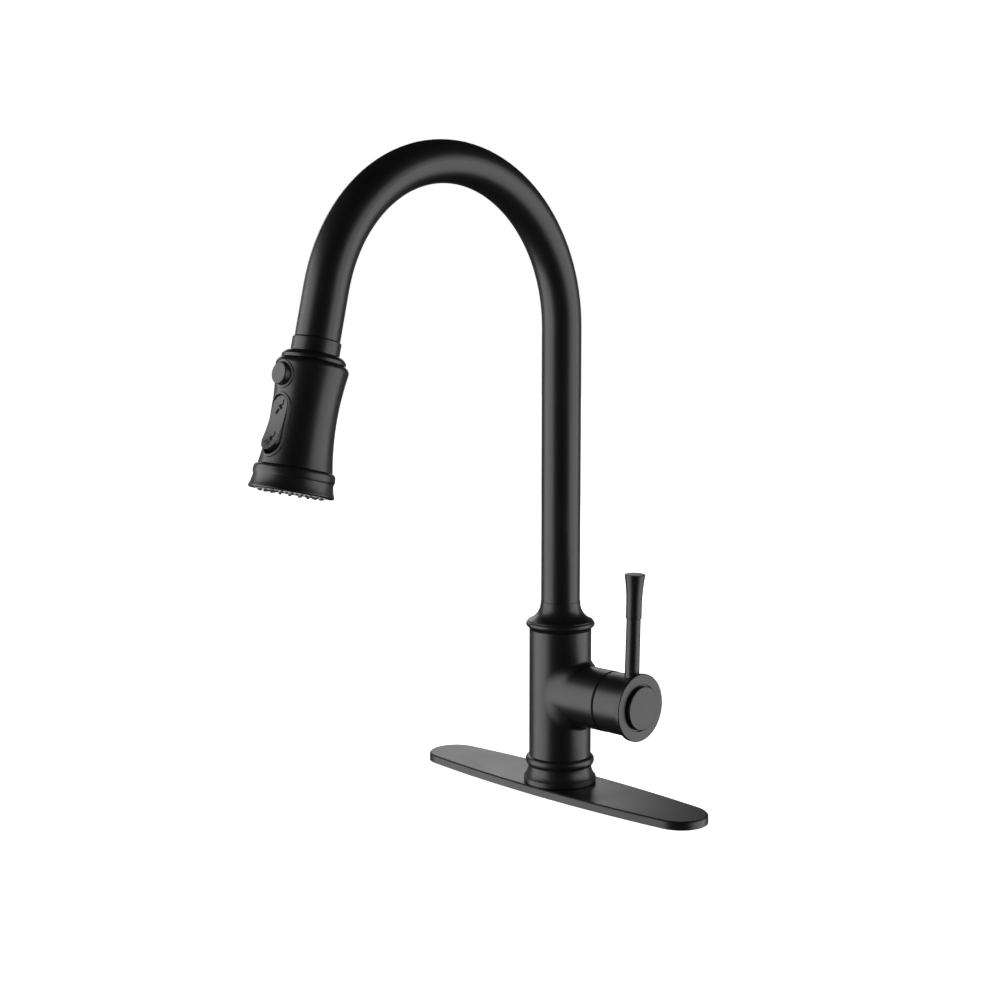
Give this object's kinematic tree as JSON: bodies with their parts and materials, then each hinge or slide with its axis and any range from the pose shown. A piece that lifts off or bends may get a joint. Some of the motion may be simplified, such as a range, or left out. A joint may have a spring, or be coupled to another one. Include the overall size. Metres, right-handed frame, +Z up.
{
  "type": "pull-down kitchen faucet",
  "caption": "High-arc kitchen faucet on a long deck plate, with a side lever and a pull-down spray head with a pause button and a spray rocker.",
  "frame": {"origin": "centre of the shank socket, on the column's axis at the counter surface", "axes": "+Z up along the column; the spout reaches toward -Y; the handle's boss points toward +X; the deck plate runs along X"},
  "size_m": [0.26, 0.2933, 0.4554],
  "materials": {
    "matte_black_metal": "matte black powder coat",
    "matte_black_plastic": "matte black",
    "light_grey_plate": "glossy light grey",
    "black_silicone": "soft matte",
    "seal_rubber": "matte",
    "brass": "machined",
    "steel": "brushed",
    "magnet_metal": "nickel plated",
    "inner_plastic": "moulded white",
    "aerator_plastic": "moulded grey",
    "disc_ceramic": "polished, stands in for alumina ceramic",
    "hose_nylon": "braided grey nylon"
  },
  "bodies": {
    "column": {"deck_plate": "matte_black_metal", "deck_gasket": "seal_rubber", "column_body": "matte_black_metal", "base_ring": "matte_black_metal", "top_collar": "matte_black_metal", "wear_washer": "inner_plastic", "swivel_bushing": "inner_plastic", "cartridge_seal": "seal_rubber", "cartridge_housing": "inner_plastic", "fixed_ceramic_disc": "disc_ceramic", "cartridge_nut": "brass", "dome_cover": "matte_black_metal"},
    "spout": {"swivel_plug": "brass", "swivel_o_rings": "seal_rubber", "spout_tube": "matte_black_metal", "hose_run": "hose_nylon", "dock_bushing": "inner_plastic", "dock_magnet": "magnet_metal"},
    "hose_coupling": {"hose_end": "hose_nylon", "hose_ferrule": "steel", "hose_nipple": "brass"},
    "spray_head": {"hose_nut": "brass", "hose_washer": "seal_rubber", "nipple_o_ring": "seal_rubber", "inlet_strainer": "steel", "check_valve": "inner_plastic", "head_core": "inner_plastic", "spray_distributor": "inner_plastic", "core_screws": "steel", "head_neck": "matte_black_metal", "dock_washer": "steel", "head_collar": "matte_black_metal", "head_shell": "matte_black_metal", "skirt_ring": "matte_black_metal", "spray_face": "light_grey_plate", "nozzle_mat": "black_silicone", "aerator": "aerator_plastic", "button_bezel": "matte_black_metal", "rocker_bezel": "matte_black_metal", "rocker_pin": "steel", "button_spring": "steel"},
    "pause_button": {"pause_button": "matte_black_plastic", "pause_plunger": "inner_plastic"},
    "spray_rocker": {"rocker": "matte_black_plastic"},
    "diverter_spool": {"diverter_spool": "inner_plastic"},
    "stem_carrier": {"cartridge_rotor": "inner_plastic", "stem_pin": "steel"},
    "mixing_disc": {"moving_ceramic_disc": "disc_ceramic", "disc_carrier": "inner_plastic"},
    "handle": {"cartridge_stem": "steel", "handle_hub": "matte_black_metal", "stem_screw": "steel", "hub_cap": "matte_black_metal", "lever_rod": "matte_black_metal", "lever_tip": "matte_black_metal"}
  },
  "joints": [
    {"name": "spout_swivel", "type": "hinge", "parent": "column", "child": "spout", "pos_m": [0, 0, 0.118], "axis": [0, 0, 1], "continuous": true},
    {"name": "pull_out", "type": "slide", "parent": "spout", "child": "hose_coupling", "axis": [0, -0.23, -0.9732], "range_m": [0, 0.22], "stiffness_N_per_m": 12, "springref_m": -0.6},
    {"name": "head_swivel", "type": "hinge", "parent": "hose_coupling", "child": "spray_head", "pos_m": [0, -0.21955, 0.3273], "axis": [0, -0.23, -0.9732], "continuous": true},
    {"name": "pause_press", "type": "slide", "parent": "spray_head", "child": "pause_button", "axis": [0, 0.9732, -0.23], "range_m": [0, 0.0025], "stiffness_N_per_m": 800, "springref_m": -0.001, "deforming": ["button_spring"]},
    {"name": "rocker_tilt", "type": "hinge", "parent": "spray_head", "child": "spray_rocker", "pos_m": [0, -0.24853, 0.2764], "axis": [1, 0, 0], "range_deg": [0, 19]},
    {"name": "spool_shift", "type": "slide", "parent": "spray_head", "child": "diverter_spool", "axis": [0, 0.23, 0.9732], "range_m": [0, 0.0045]},
    {"name": "handle_turn", "type": "hinge", "parent": "column", "child": "stem_carrier", "pos_m": [0.0381, 0, 0.0727], "axis": [1, 0, 0], "range_deg": [-45, 45]},
    {"name": "handle_lift", "type": "hinge", "parent": "stem_carrier", "child": "handle", "pos_m": [0.0381, 0, 0.0727], "axis": [0, 1, 0], "range_deg": [0, 22]},
    {"name": "disc_shift", "type": "slide", "parent": "stem_carrier", "child": "mixing_disc", "axis": [0, 0, 1], "range_m": [0, 0.004]}
  ],
  "couplings": [
    {"joint": "spool_shift", "follows": "rocker_tilt", "m_per_rad": 0.0133},
    {"joint": "disc_shift", "follows": "handle_lift", "m_per_rad": 0.01}
  ]
}
